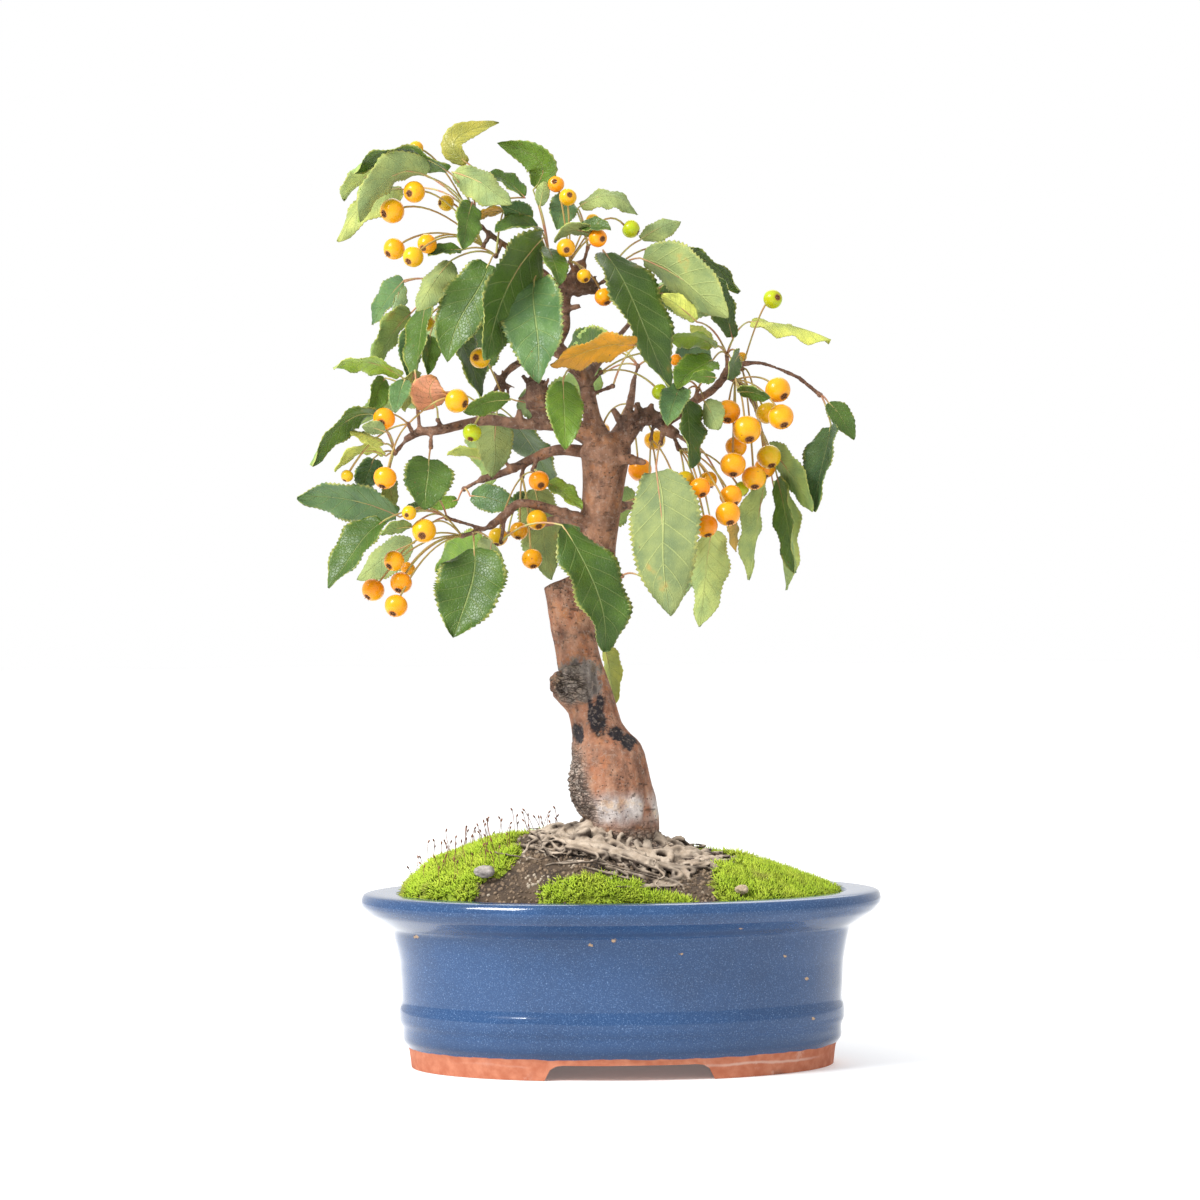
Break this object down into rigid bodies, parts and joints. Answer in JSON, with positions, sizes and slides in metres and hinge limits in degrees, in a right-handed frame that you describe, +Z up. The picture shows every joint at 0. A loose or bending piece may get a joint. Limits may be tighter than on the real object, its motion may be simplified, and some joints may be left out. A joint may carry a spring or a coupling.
{
  "type": "potted bonsai tree",
  "caption": "Small crabapple tree with a swollen trunk base, hanging toothed leaves and bunches of round orange fruit, in an oval glazed pot with moss and soil.",
  "frame": {"origin": "on the floor under the middle of the whole part's box", "axes": "+X along the pot's long side to the viewer's right, +Y away from the viewer, +Z up"},
  "size_m": [0.3342, 0.2458, 0.5408],
  "materials": {
    "pot": "gloss",
    "soil": "matte",
    "moss": "matte",
    "moss_front": "matte",
    "pebble": "matte",
    "screen": "matte",
    "bark": "matte",
    "leaf": "satin",
    "autumn_leaf": "satin",
    "dead_leaf": "matte",
    "fruit": "gloss"
  },
  "bodies": {
    "root": {"autumn_leaf": "autumn_leaf", "dead_leaf": "dead_leaf", "drain_screen_left": "screen", "drain_screen_right": "screen", "fruit_back": "fruit", "fruit_centre": "fruit", "fruit_centre_left": "fruit", "fruit_crown": "fruit", "fruit_left": "fruit", "fruit_left_high": "fruit", "fruit_low_left": "fruit", "fruit_low_right": "fruit", "fruit_low_right_inner": "fruit", "fruit_middle": "fruit", "fruit_right": "fruit", "fruit_right_high": "fruit", "fruit_top_left": "fruit", "leaf_centre": "leaf", "leaf_left_dark": "leaf", "leaf_low_right_big": "leaf", "leaf_over_trunk": "leaf", "leaf_trunk_back": "leaf", "leaf_trunk_right": "leaf", "leaves_back_high": "leaf", "leaves_back_left": "leaf", "leaves_back_low": "leaf", "leaves_back_low_left": "leaf", "leaves_back_mid": "leaf", "leaves_back_right": "leaf", "leaves_back_top": "leaf", "leaves_centre": "leaf", "leaves_centre_left": "leaf", "leaves_crown": "leaf", "leaves_inner": "leaf", "leaves_left_end": "leaf", "leaves_left_high": "leaf", "leaves_left_mid": "leaf", "leaves_low_end": "leaf", "leaves_low_left": "leaf", "leaves_low_right": "leaf", "leaves_right": "leaf", "leaves_right_end": "leaf", "leaves_right_inner": "leaf", "leaves_right_low": "leaf", "leaves_top": "leaf", "leaves_top_left": "leaf", "leaves_top_right": "leaf", "leaves_upper_left": "leaf", "moss": "moss", "moss_front": "moss_front", "pebble_left": "pebble", "pebble_right": "pebble", "pot": "pot", "soil": "soil", "trunk": "bark"}
  },
  "joints": []
}
